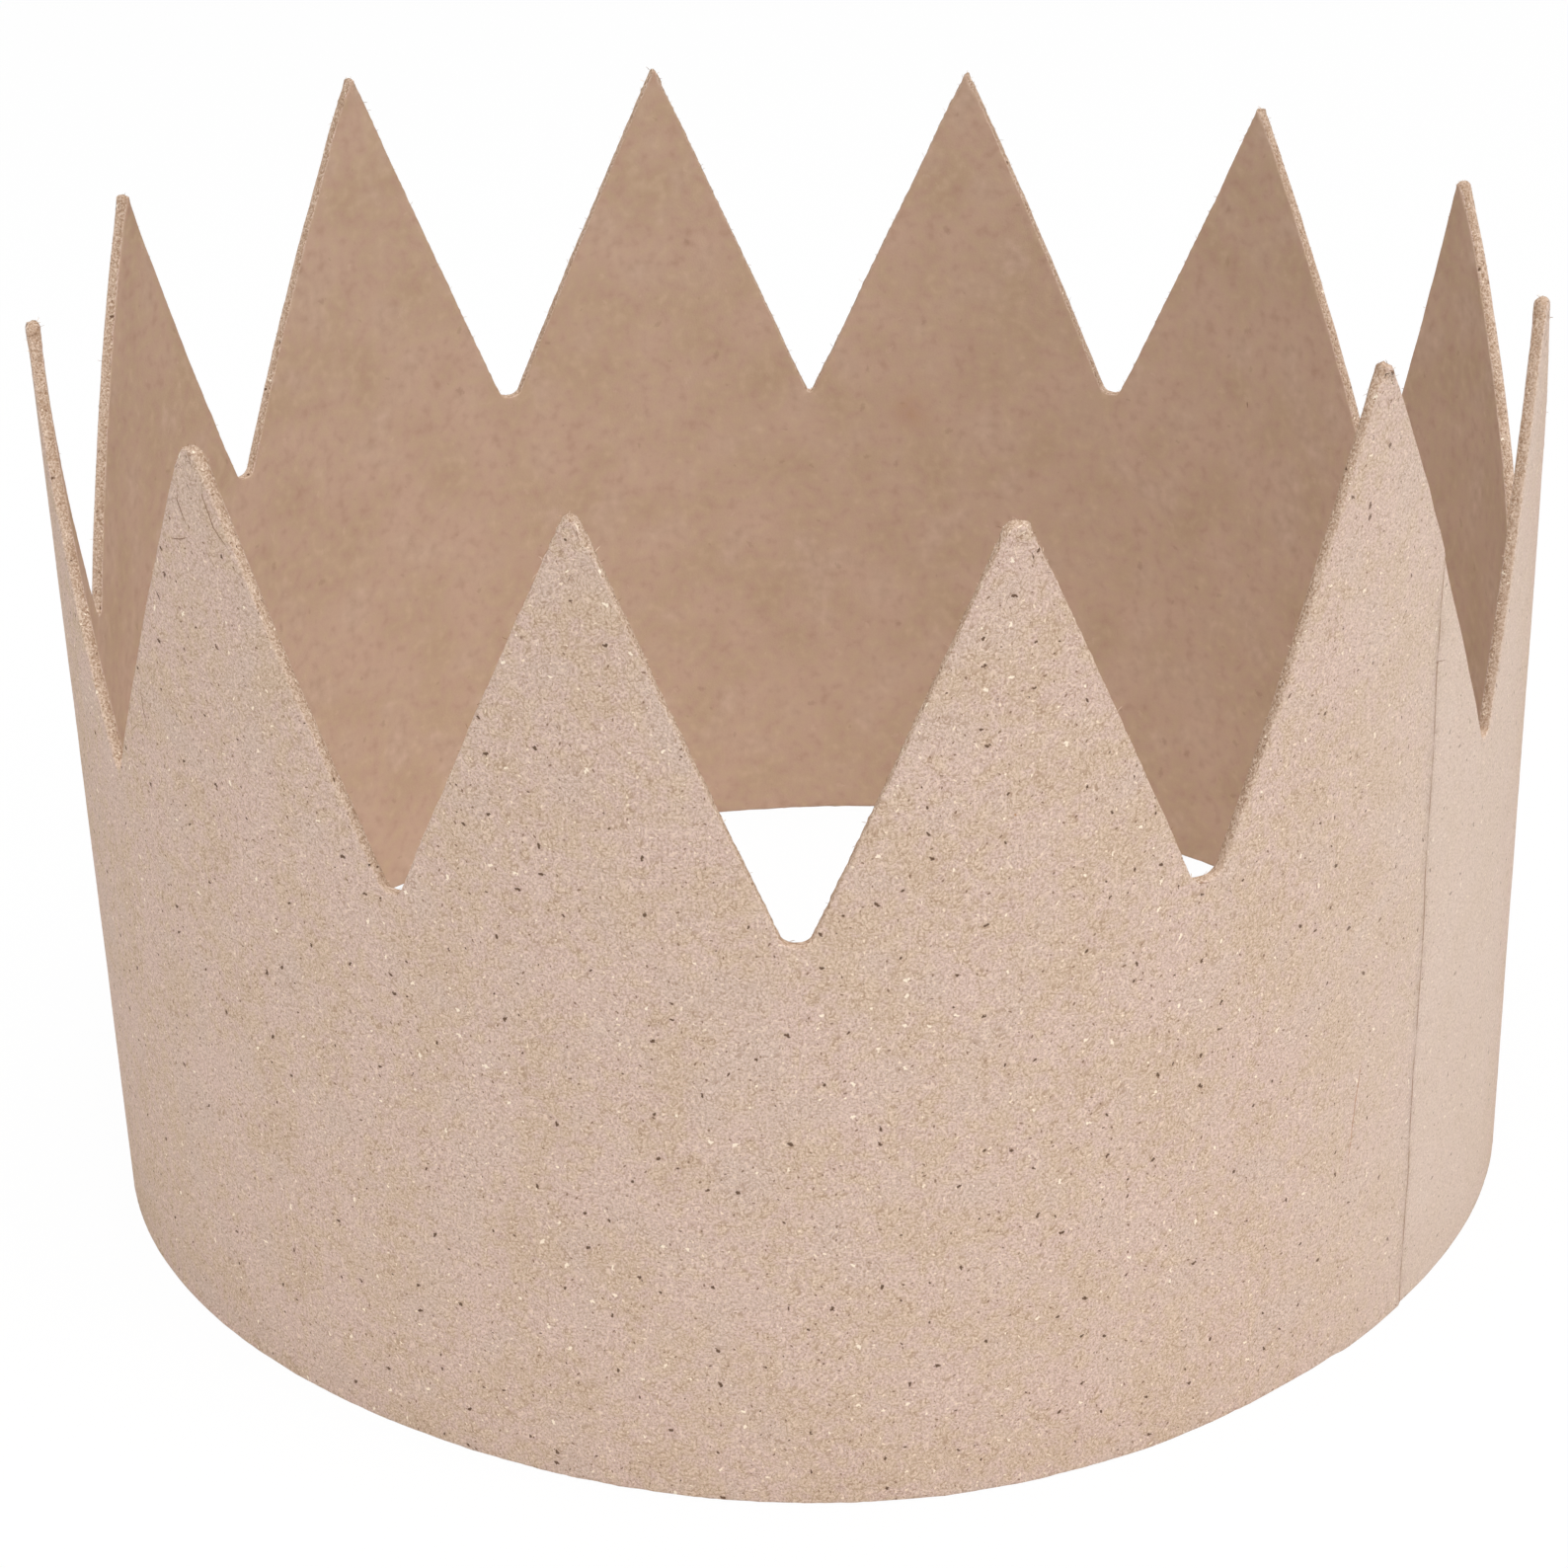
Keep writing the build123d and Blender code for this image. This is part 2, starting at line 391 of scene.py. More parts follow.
class Tree:
    # writes a node tree a line at a time
    def __init__(self, tree):
        self.tree = tree

    def node(self, kind, *feeds, **settings):
        made = self.tree.nodes.new(kind)
        for key, value in settings.items():
            setattr(made, key, value)
        for i, feed in enumerate(feeds):
            self.feed(made.inputs[i], feed)
        return made

    def feed(self, socket, value):
        if value is None:
            return
        if isinstance(value, bpy.types.NodeSocket):
            self.tree.links.new(value, socket)
        elif isinstance(value, bpy.types.Node):
            self.tree.links.new(next(o for o in value.outputs if o.enabled), socket)
        else:
            socket.default_value = value

    def fill(self, node, **feeds):
        # feeds a node's sockets by their names, where baseColor stands for Base Color
        for socket in node.inputs:
            key = socket.name[:1].lower() + socket.name[1:].replace(" ", "")
            if key in feeds:
                self.feed(socket, feeds[key])
        return node.outputs

    def math(self, operation, *values):
        return self.node("ShaderNodeMath", *values, operation=operation).outputs[0]

    def chain(self, operation, first, *others):
        for other in others:
            first = self.math(operation, first, other)
        return first

    def add(self, *values):
        return self.chain("ADD", *values)

    def subtract(self, a, b):
        return self.math("SUBTRACT", a, b)

    def multiply(self, *values):
        return self.chain("MULTIPLY", *values)

    def vector(self, operation, *values):
        made = self.node("ShaderNodeVectorMath", operation=operation)
        for i, value in enumerate(values):
            self.feed(made.inputs["Scale"] if operation == "SCALE" and i == 1 else made.inputs[i], value)
        return made.outputs["Value" if operation in ("DISTANCE", "DOT_PRODUCT") else "Vector"]

    def combine(self, x=0.0, y=0.0, z=0.0):
        return self.node("ShaderNodeCombineXYZ", x, y, z).outputs[0]

    def separate(self, vector):
        return self.node("ShaderNodeSeparateXYZ", vector).outputs

    def ramp(self, value, low, high, toLow=0.0, toHigh=1.0, smooth=True):
        made = self.node("ShaderNodeMapRange", value, low, high, toLow, toHigh)
        made.interpolation_type = "SMOOTHSTEP" if smooth else "LINEAR"
        return made.outputs[0]

    def noise(self, vector, scale, detail=2.0, roughness=0.5, dimensions="3D"):
        made = self.node("ShaderNodeTexNoise", noise_dimensions=dimensions)
        return self.fill(made, vector=vector, scale=scale, detail=detail, roughness=roughness)[0]

    def flatNoise(self, vector, scale, detail=2.0, roughness=0.5):
        return self.noise(vector, scale, detail, roughness, "2D")

    def centred(self, vector, size, detail=2.0):
        # noise about zero, from the size of its lumps
        return self.subtract(self.noise(vector, self.math("DIVIDE", 1.0, size), detail), 0.5)

    def shift(self, vector, x=0.0, y=0.0, z=0.0):
        return self.vector("ADD", vector, self.combine(x, y, z))

    def onWheel(self, angle, radius, height, aside=0.0):
        # the direction of an angle from the axis, and a place there at a radius and a height
        ring = self.combine(self.math("COSINE", angle), self.math("SINE", angle))
        return ring, self.shift(self.vector("SCALE", ring, radius), aside, 0.0, height)

    def mix(self, share, a, b):
        made = self.node("ShaderNodeMix", data_type="RGBA")
        self.feed(made.inputs[0], share)
        self.feed(made.inputs[6], a)
        self.feed(made.inputs[7], b)
        return made.outputs[2]

    def attribute(self, name, kind="FLOAT"):
        # a mesh attribute, in a geometry tree or in a material
        if self.tree.bl_idname == "GeometryNodeTree":
            return self.node("GeometryNodeInputNamedAttribute", name, data_type=kind).outputs["Attribute"]
        return self.node("ShaderNodeAttribute", attribute_name=name).outputs["Fac"]

    def store(self, geometry, name, value, kind="FLOAT", domain="POINT"):
        made = self.node("GeometryNodeStoreNamedAttribute", data_type=kind, domain=domain)
        return self.fill(made, geometry=geometry, name=name, value=value)["Geometry"]

    def group(self, tree, **feeds):
        return self.fill(self.node("ShaderNodeGroup", node_tree=tree), **feeds)

    def finish(self, geometry, material, result):
        # the end of a geometry tree: smooth, real and with its material
        shaded = self.node("GeometryNodeSetShadeSmooth", geometry)
        realized = self.node("GeometryNodeRealizeInstances", shaded)
        self.feed(result.inputs[0], self.node("GeometryNodeSetMaterial", realized, True, material))


def newTree(name, kind, inputs, outputs):
    # a node group with named inputs (socket kind and value) and outputs (socket kind)
    tree = bpy.data.node_groups.new(name, kind)
    newSocket = tree.interface.new_socket
    for key, (socketKind, value) in inputs.items():
        made = newSocket(label(key), in_out="INPUT", socket_type="NodeSocket" + socketKind)
        if value is not None:
            made.default_value = value
    for key, socketKind in outputs.items():
        newSocket(label(key), in_out="OUTPUT", socket_type="NodeSocket" + socketKind)
    source, result = tree.nodes.new("NodeGroupInput"), tree.nodes.new("NodeGroupOutput")
    given = SimpleNamespace(**{key: source.outputs[label(key)] for key in inputs})
    return Tree(tree), given, result


def floats(sizes):
    # sizes, as inputs of a node group
    return {key: ("Float", value) for key, value in sizes.items()}


def rollTree():
    # rolls the flat pattern into the band, gives it two faces and closes them round every cut edge
    sizes = dict(boardFinish, bandRadius=band["radius"], boardThickness=band["thickness"])
    sizes.update(lapEnd=math.radians(lap["end"]), stainSize=innerStain["size"])
    for key in ("width", "rise", "ramp", "step", "wander"):
        sizes["lap" + label(key)] = lap[key]
    for count, height, crest in bandWaves:
        sizes[f"wave{count}Height"] = height * mm
        sizes[f"wave{count}Crest"] = math.radians(crest)
    stainPlace = flatPlace(innerStain["angle"], innerStain["height"])
    inputs = {"geometry": ("Geometry", None), "board": ("Material", None)}
    inputs |= {"stainPlace": ("Vector", stainPlace), **floats(sizes)}
    t, given, result = newTree("rollBoard", "GeometryNodeTree", inputs, {"geometry": "Geometry"})

    turn, dist, tipDrop = t.attribute("rowTurn"), t.attribute("edgeDist"), t.attribute("tipDrop")
    inward = t.attribute("inward", "FLOAT_VECTOR")

    # a cut edge bulges like a squarish ellipse: rise runs to the face, and inset into the board
    quarter = t.multiply(turn, math.pi / 2)
    wear = t.ramp(tipDrop, 0.0, given.wornReach, 1.0, 0.0)
    squareness = t.ramp(wear, 0.0, 1.0, given.edgeSquareness, given.tipSquareness, smooth=False)
    power = t.math("DIVIDE", 2.0, squareness)
    rise = t.math("POWER", t.math("SINE", quarter), power)
    fall = t.math("POWER", t.math("MAXIMUM", t.math("COSINE", quarter), 0.0), power)
    inset = t.multiply(t.attribute("edgeRoom"), t.subtract(1.0, fall))
    half = t.multiply(given.boardThickness, 0.5, rise)
    swollen = t.add(t.multiply(wear, given.tipSwell), 1.0)
    nearEdge = t.ramp(dist, 0.0, given.grainReach, 1.0, 0.0)
    worn = t.ramp(tipDrop, given.wearStart, given.wearEnd, given.tipWear, 1.0)
    flat = t.vector("ADD", t.node("GeometryNodeInputPosition"), t.vector("SCALE", inward, inset))

    # grain is read from the rolled board, so that it meets itself where the strip closes
    x, y, _ = t.separate(flat)
    around = t.math("DIVIDE", x, given.bandRadius)
    wheel, rolled = t.onWheel(around, given.bandRadius, y, given.seed)

    # the lap's end wanders a little, and the board beside it follows
    straightBack = t.subtract(t.multiply(given.lapEnd, given.bandRadius), x)
    fromLap = t.math("ABSOLUTE", straightBack)
    nearLap = t.ramp(fromLap, *lap["wanderReach"], 1.0, 0.0)
    wander = t.multiply(t.centred(t.combine(given.seed, 0.0, y), lap["wanderSize"], 3.0), given.lapWander)
    flat = t.shift(flat, t.multiply(wander, nearLap))
    seamNear = t.ramp(fromLap, 0.0, lap["seamReach"], 1.0, 0.0, smooth=False)

    # past the lap's end the board is smoother, and paler with painted light
    lead, leadShare = lap["smoothLead"]
    fadeEnd, fadeStart = lap["smoothFade"]
    fading = t.ramp(straightBack, -fadeEnd, -fadeStart)
    leading = t.ramp(straightBack, lead, 0.0, 0.0, leadShare)
    beyondLap = t.math("MAXIMUM", t.ramp(straightBack, *lap["smoothEdge"]), leading)
    beyondLap = t.multiply(beyondLap, fading)

    fromStain = t.vector("DISTANCE", flat, given.stainPlace)
    stain = t.ramp(fromStain, 0.0, given.stainSize, 1.0, 0.0)

    joined = t.node("GeometryNodeJoinGeometry")
    for side in (-1.0, 1.0):
        # the grain of the cut, which fades behind the edge
        depth = t.multiply(half, swollen, side)
        solid = t.vector("ADD", rolled, t.vector("SCALE", wheel, depth))
        grain = t.multiply(t.centred(solid, given.grainSize), t.multiply(given.cutGrain, nearEdge), worn)
        sway = t.multiply(t.centred(t.shift(rolled, 0.0, given.seed), given.swaySize, 3.0), given.edgeSway)
        drawn = t.add(t.multiply(grain, t.subtract(2.0, turn)), t.multiply(sway, nearEdge))
        along, height, _ = t.separate(t.vector("ADD", flat, t.vector("SCALE", inward, drawn)))
        height = t.math("MAXIMUM", height, 0.0)  # the rim rests on the floor
        angle = t.math("DIVIDE", along, given.bandRadius)

        # the rolled band, a little out of round, with shallow dents and a pebbled face
        ring, spot = t.onWheel(angle, given.bandRadius, height)
        swell = t.multiply(t.centred(spot, given.unevenSize, 3.0), given.unevenness)
        for count, _, _ in bandWaves:
            phase = t.multiply(t.subtract(angle, getattr(given, f"wave{count}Crest")), float(count))
            swell = t.add(swell, t.multiply(t.math("COSINE", phase), getattr(given, f"wave{count}Height")))
        sideSpot = t.shift(spot, 0.0, 0.0, side)
        pebble = t.multiply(t.centred(sideSpot, given.pebbleSize), given.pebble)
        proud = t.multiply(t.add(pebble, t.multiply(grain, given.grainProud)), rise, side)
        face = t.add(depth, proud)
        if side > 0:
            halfStep = t.multiply(given.lapStep, 0.5)
            stepUp = t.ramp(straightBack, t.multiply(halfStep, -1.0), halfStep)
            slope = t.ramp(straightBack, given.lapWidth, t.subtract(given.lapWidth, given.lapRamp))
            face = t.add(face, t.multiply(stepUp, slope, given.lapRise, rise))
        middle = t.subtract(given.bandRadius, t.multiply(given.boardThickness, 0.5))
        place = t.shift(t.vector("SCALE", ring, t.add(middle, swell, face)), 0.0, 0.0, height)

        # what the material reads
        read = {"faceSide": t.multiply(rise, side), "fromEdge": t.math("MAXIMUM", dist, inset)}
        read["stain"] = stain if side < 0 else 0.0
        read["seamNear"] = seamNear if side > 0 else 0.0
        read["beyondLap"] = beyondLap if side > 0 else 0.0
        for name, (finer, detail, roughness) in boardClouds.items():
            read[name] = t.noise(sideSpot, t.math("DIVIDE", finer, given.cloudSize), detail, roughness)
        skin = given.geometry
        for name, value in read.items():
            skin = t.store(skin, name, value)
        overEdge = t.multiply(t.subtract(given.boardThickness, t.multiply(half, 2.0)), -0.5)
        unrolled = t.vector("ADD", flat, t.vector("SCALE", inward, overEdge))
        unrolled = t.shift(unrolled, 0.0, 0.0 if side > 0 else given.innerMapShift)
        skin = t.store(skin, "stripMap", unrolled, "FLOAT2", "CORNER")
        skin = t.node("GeometryNodeSetPosition", skin, None, place)
        t.feed(joined.inputs[0], skin if side > 0 else t.node("GeometryNodeFlipFaces", skin))
    merged = t.fill(t.node("GeometryNodeMergeByDistance", joined), distance=given.mergeGap)
    t.finish(merged["Geometry"], given.board, result)
    return t.tree


def newObject(name, data):
    made = bpy.data.objects.new(name, data)
    bpy.context.scene.collection.objects.link(made)
    return made


def newMaterial(name):
    # a material, the writer of its tree, and its Principled BSDF
    made = bpy.data.materials.new(name)
    made.use_nodes = True
    return made, Tree(made.node_tree), made.node_tree.nodes["Principled BSDF"]


def grow(name, mesh, tree, material):
    # runs a tree on a mesh and keeps the result as a plain mesh
    base = newObject(name, mesh)
    modifier = base.modifiers.new(tree.name, "NODES")
    modifier.node_group = tree
    socket = next(item for item in tree.interface.items_tree if item.socket_type == "NodeSocketMaterial")
    modifier[socket.identifier] = material
    bpy.context.view_layer.update()
    graph = bpy.context.evaluated_depsgraph_get()
    ready = base.evaluated_get(graph)
    plain = bpy.data.meshes.new_from_object(ready, preserve_all_data_layers=True, depsgraph=graph)
    base.modifiers.remove(modifier)
    old = base.data
    base.data = plain
    bpy.data.meshes.remove(old)
    return base


def triangles(thing):
    return sum(len(face.vertices) - 2 for face in thing.data.polygons)


def tone(red, green, blue):
    # a colour as the eye sees it, 0 to 255, turned into Blender's linear one
    linear = [((v / 255 + 0.055) / 1.055) ** 2.4 for v in (red, green, blue)]
    return (*linear, 1.0)


# each look is given for the outer face and for the inner one
kraftBoard = {
    "pink": (tone(209, 183, 170), tone(202, 171, 151)),
    "sand": (tone(203, 178, 156), tone(195, 167, 141)),
    "grey": (tone(203, 179, 164), tone(197, 168, 147)),
    "plain": (tone(204, 179, 162), tone(196, 167, 145)),
    "grain": (1.0, 0.07),
    "blotch": (0.40, 0.42),
    "patches": (0.16, 0.26),
    "relief": (1.5, 0.3),
    "darkCurls": (0.92, 0.02),
    "paleCurls": (0.55, 0.02),
    # painted shade: how dark the board is made at a tip
    "tipShade": (0.96, 0.93),
}

# and these hold for both faces
boardLook = {
    "innerEdge": (-0.97, -0.80),  # where the inner face ends, as a share of half the board
    "pinkToSand": (0.80, 1.20),  # where the clouds turn one tone into the next
    "toGrey": (0.50, 0.70),
    "deepen": (0.72, 0.65, 0.59),  # what a dark curl makes of the board's tone
    "warming": (0.80, 1.0, 1.20),  # darker grain is browner: how far each colour follows the shade
    "wornCurls": (1.5 * mm, 6.0 * mm, 0.35),  # more dark curls at a tip: full to here, ends there, how many
    # how far below a tip the painted shade reaches
    "tipShadeReach": 40.0 * mm,
    "blotchSize": 2.0 * mm,
    "grainSize": 0.32 * mm,
    "curlSize": 0.95 * mm,
    "reliefDepth": 0.07 * mm,
    "roughness": (0.97, 0.86),  # in the grain's hollows and on its backs
    "specular": 0.2,
    "stain": 0.9,
}

# the granular face of a cut, and the fibres rubbed beside it
cutLook = {
    "brown": tone(172, 143, 119), "pale": tone(200, 175, 155),
    "spread": (-0.58, 0.48),  # of the felting, from brown to pale
    "felting": 1.6,
    "lean": 0.35,  # how much browner the cut is towards the inside
    "fray": 1.2,
    "faceEdge": (0.70, 0.86),  # where the cut turns into a face, as a share of half the board
    "faceFray": 0.2,
    "rubbed": 0.22, "rubbedWidth": 0.5 * mm, "rubbedFray": 0.9 * mm,
}

# the smooth strip past the seam, made paler with painted light, and the seam, whose dark line is painted
# shadow at the step
smoothAndLitStrip = {"tone": tone(213, 194, 180), "share": 0.70, "calm": 0.45}
seamLook = {
    "tone": tone(158, 119, 94), "width": (0.12 * mm, 0.42 * mm), "depth": 0.25,
    "fray": (0.36, 0.60), "strength": (0.15, 0.8),
}

# specks: the cell that holds one, its size, share of the cells, strength, dark and pale tone
boardSpecks = [
    {
        "cell": (1.2, 2.6), "size": (0.17, 0.40), "share": (0.8, 0.40), "strength": (0.85, 0.12),
        "dark": (tone(128, 98, 76), tone(158, 128, 106)), "pale": (tone(240, 222, 200), tone(214, 188, 166)),
    },
    {
        "cell": (2.9, 4.6), "size": (0.29, 0.62), "share": (0.75, 0.45), "strength": (0.95, 0.25),
        "dark": (tone(98, 72, 54), tone(150, 120, 98)), "pale": (tone(246, 232, 212), tone(216, 190, 168)),
    },
]

# how one of them is shaped
speckShape = {
    "drawnOut": 2.2,
    "least": 0.30, "spread": 0.95,  # size of the smallest one, and how much larger the largest is
    "ragged": (2.4, -0.1),
    "soft": 0.30,  # width of its soft edge, as a share of its size
    "paleFrom": 0.52,  # share of them that are dark
    "turns": 29.0,
}

# short curled fibres in the face, where the noise passes a level
curls = {
    "dark": (0.52, (0.66, 0.82)), "pale": (0.43, (0.80, 0.66)),  # the level, and the patches they keep to
    "width": 0.06, "bend": 1.6, "jitter": 0.6,
}

# named tones; dusk is also the painted shade in a crease
soot, rust, dusk = tone(84, 66, 54), tone(176, 132, 96), tone(146, 115, 94)
chalk, blush, moss = tone(240, 219, 199), tone(186, 142, 118), tone(112, 116, 92)


def makeFeltGroup():
    # the felted fibres of the board: fine grain, and short curls that stand out dark and pale
    inputs = {"place": ("Vector", None), "blotch": ("Float", 0.5)}
    outputs = dict.fromkeys(("grain", "fibre", "darkCurls", "paleCurls"), "Float")
    inputs |= floats({"grainSize": mm, "curlSize": mm})
    t, given, result = newTree("boardFelt", "ShaderNodeTree", inputs, outputs)
    grain = t.flatNoise(given.place, t.math("DIVIDE", 1.0, given.grainSize), 1.0, 0.7)
    jitter = t.multiply(grain, t.multiply(given.grainSize, curls["jitter"]))
    bend = t.multiply(given.blotch, t.multiply(given.curlSize, curls["bend"]))
    spot = t.vector("ADD", given.place, t.combine(t.add(bend, jitter), t.subtract(bend, jitter)))
    fibre = t.flatNoise(spot, t.math("DIVIDE", 1.0, given.curlSize), 1.0)
    t.fill(result, grain=grain, fibre=fibre)
    patch = t.add(given.blotch, t.multiply(grain, 0.5))
    for key in ("dark", "pale"):
        level, patches = curls[key]
        strand = t.ramp(t.math("ABSOLUTE", t.subtract(fibre, level)), 0.0, curls["width"], 1.0, 0.0)
        t.fill(result, **{key + "Curls": t.multiply(strand, t.ramp(patch, *patches))})
    return t.tree


def makeFleckGroup():
    # one speck to a cell, of which a share is kept, turned and drawn out, some dark and some pale
    inputs = {"place": ("Vector", None)} | floats(dict.fromkeys(("cell", "size", "share", "ragged"), mm))
    t, given, result = newTree("boardFlecks", "ShaderNodeTree", inputs, {"mask": "Float", "pale": "Float"})
    cells = t.node("ShaderNodeTexVoronoi", voronoi_dimensions="2D")
    cell = t.fill(cells, vector=given.place, scale=t.math("DIVIDE", 1.0, given.cell))
    size, pick, kind = t.separate(cell["Color"])
    turned = t.multiply(pick, speckShape["turns"])
    across = t.combine(t.math("COSINE", turned), t.math("SINE", turned))
    spot = t.vector("SUBTRACT", given.place, cell["Position"])
    wide = t.vector("DOT_PRODUCT", spot, across)
    whole = t.vector("DOT_PRODUCT", spot, spot)
    away = t.math("SQRT", t.add(whole, t.multiply(wide, wide, speckShape["drawnOut"])))
    steep, offset = speckShape["ragged"]
    ragged = t.add(t.multiply(given.ragged, steep), offset)
    reach = t.add(t.multiply(size, size, speckShape["spread"]), speckShape["least"])
    reach = t.multiply(reach, t.math("LESS_THAN", pick, given.share), given.size, ragged)
    mask = t.ramp(t.subtract(reach, away), 0.0, t.multiply(given.size, speckShape["soft"]))
    t.fill(result, mask=mask, pale=t.math("GREATER_THAN", kind, speckShape["paleFrom"]))
    return t.tree


def makeKraftBoard():
    board, t, shader = newMaterial("kraftBoard")
    place = t.node("ShaderNodeUVMap", uv_map="stripMap").outputs[0]
    side, fromEdge, tipDrop = t.attribute("faceSide"), t.attribute("fromEdge"), t.attribute("tipDrop")
    cloud, veil, ragged = (t.attribute(name) for name in boardClouds)
    outside = t.ramp(side, *boardLook["innerEdge"])
    blotch = t.flatNoise(place, 1 / boardLook["blotchSize"], 1.0)
    felted = t.group(
        makeFeltGroup(), place=place, blotch=blotch,
        grainSize=boardLook["grainSize"], curlSize=boardLook["curlSize"],
    )
    grain = t.subtract(felted["Grain"], 0.5)

    def look(pair, scale=1.0):
        # a number or a tone that differs between the two faces
        outer, inner = pair
        if isinstance(outer, tuple):
            return t.mix(outside, inner, outer)
        return t.ramp(outside, 0.0, 1.0, inner * scale, outer * scale, smooth=False)

    # patches of tone, and the smooth strip past the seam, made paler with painted light
    sandy = t.ramp(t.add(cloud, blotch), *boardLook["pinkToSand"])
    colour = t.mix(sandy, look(kraftBoard["pink"]), look(kraftBoard["sand"]))
    colour = t.mix(t.ramp(veil, *boardLook["toGrey"]), colour, look(kraftBoard["grey"]))
    smooth = t.attribute("beyondLap")
    # painted light: past the seam the board is made paler; the calm below is its real smoothness
    colour = t.mix(t.multiply(smooth, smoothAndLitStrip["share"]), colour, smoothAndLitStrip["tone"])
    crisp = t.subtract(1.0, t.multiply(smooth, smoothAndLitStrip["calm"]))

    # fibres rubbed beside a cut, and the cut itself, browner towards the inside
    felting = t.add(t.multiply(grain, cutLook["felting"]), t.subtract(felted["Fibre"], 0.5))
    frayed = t.multiply(t.subtract(ragged, 0.5), cutLook["fray"])
    brown = t.add(t.multiply(side, cutLook["lean"]), frayed)
    paler = t.ramp(t.add(felting, brown), *cutLook["spread"])
    reach = t.subtract(fromEdge, t.multiply(t.add(felting, ragged), cutLook["rubbedFray"]))
    rubbed = t.multiply(t.ramp(reach, 0.0, cutLook["rubbedWidth"], 1.0, 0.0), cutLook["rubbed"])
    aside = t.add(t.math("ABSOLUTE", side), t.multiply(felting, cutLook["faceFray"]))
    cutShare = t.ramp(aside, *cutLook["faceEdge"], 1.0, 0.0)
    cutColour = t.mix(paler, cutLook["brown"], cutLook["pale"])
    colour = t.mix(t.math("MAXIMUM", rubbed, cutShare), colour, cutColour)

    # grain, blotches and patches darken and lighten the board, and painted shade darkens it towards the tips
    shade = t.multiply(grain, look(kraftBoard["grain"]))
    for mask, key in ((blotch, "blotch"), (veil, "patches")):
        shade = t.add(shade, t.multiply(t.subtract(mask, 0.5), look(kraftBoard[key])))
    shade = t.add(t.multiply(shade, crisp), 1.0)
    atTip = look(kraftBoard["tipShade"])
    tipShade = t.ramp(tipDrop, 0.0, boardLook["tipShadeReach"], atTip, 1.0, smooth=False)
    tinted = t.vector("SCALE", boardLook["warming"], t.subtract(t.multiply(shade, tipShade), 1.0))
    colour = t.vector("MULTIPLY", colour, t.vector("ADD", tinted, (1.0, 1.0, 1.0)))

    # curls, denser where a tip is worn
    wornTo, wornEnd, wornMore = boardLook["wornCurls"]
    worn = t.multiply(t.ramp(tipDrop, wornTo, wornEnd, 1.0, 0.0), outside, wornMore)
    dark = t.multiply(t.add(look(kraftBoard["darkCurls"]), worn), crisp)
    deepened = t.vector("MULTIPLY", colour, boardLook["deepen"])
    colour = t.mix(t.multiply(felted["Dark Curls"], dark), colour, deepened)
    pale = t.multiply(look(kraftBoard["paleCurls"]), crisp)
    colour = t.mix(t.multiply(felted["Pale Curls"], pale), colour, chalk)

    flecks = makeFleckGroup()
    for i, specks in enumerate(boardSpecks):
        spot = t.shift(place, 0.1 * i)  # each kind has its own pattern
        cell, size = look(specks["cell"], mm), look(specks["size"], mm)
        share = look(specks["share"])
        made = t.group(flecks, place=spot, cell=cell, size=size, share=share, ragged=felted["Grain"])
        speck = t.mix(made["Pale"], look(specks["dark"]), look(specks["pale"]))
        strength = t.multiply(look(specks["strength"]), crisp)
        colour = t.mix(t.multiply(made["Mask"], strength), colour, speck)

    colour = t.mix(t.multiply(t.attribute("stain"), blotch, boardLook["stain"]), colour, blush)

    # the seam along the lap's end: a dark line of painted shadow where the step stands, and a shallow groove
    seam = t.multiply(t.subtract(1.0, t.attribute("seamNear")), lap["seamReach"])
    strength = t.ramp(ragged, *seamLook["fray"], *seamLook["strength"])
    seamLine = t.multiply(t.ramp(seam, *seamLook["width"], 1.0, 0.0), strength)
    colour = t.mix(t.multiply(seamLine, outside), colour, seamLook["tone"])

    # relief of the grain and of the seam
    relief = t.multiply(grain, look(kraftBoard["relief"]), crisp)
    relief = t.subtract(relief, t.multiply(seamLine, seamLook["depth"]))
    bump = t.fill(t.node("ShaderNodeBump"), strength=1.0, distance=boardLook["reliefDepth"], height=relief)
    roughness = t.ramp(grain, -0.2, 0.2, *boardLook["roughness"])
    t.fill(
        shader, baseColor=colour, roughness=roughness, normal=bump["Normal"],
        specularIORLevel=boardLook["specular"],
    )

    # light that bounces off the board takes its plain tone, which is quicker
    bounced = t.node("ShaderNodeBsdfDiffuse", look(kraftBoard["plain"]))
    ray = t.node("ShaderNodeLightPath").outputs["Is Diffuse Ray"]
    mixed = t.node("ShaderNodeMixShader", ray, shader.outputs[0], bounced.outputs[0])
    t.feed(t.tree.nodes["Material Output"].inputs["Surface"], mixed.outputs[0])
    return board


# fibres that stand loose from the cuts
looseFibres = {
    "spacing": 2.4 * mm, "longestStep": 1.0 * mm, "probe": 0.1 * mm,
    "tipReach": 6.0 * mm, "tipCrowding": 3.5,  # how far down a tip they crowd, and how much
    "length": (0.30 * mm, 0.95 * mm), "radius": (0.020 * mm, 0.040 * mm),
    "rooted": 0.08,  # share of its length that is in the board
    "stray": 0.9, "leastStand": 0.15,
    "tones": [tone(232, 212, 190), tone(212, 186, 162), tone(190, 158, 130), tone(150, 118, 92)],
    "curl": 0.90 * mm, "curlSize": 0.8 * mm,
    "sides": 4, "taper": 0.55, "bends": 3, "seed": 5,
    "grainSize": 0.35 * mm, "grain": (0.86, 1.12), "roughness": 0.9, "specular": 0.3,
}
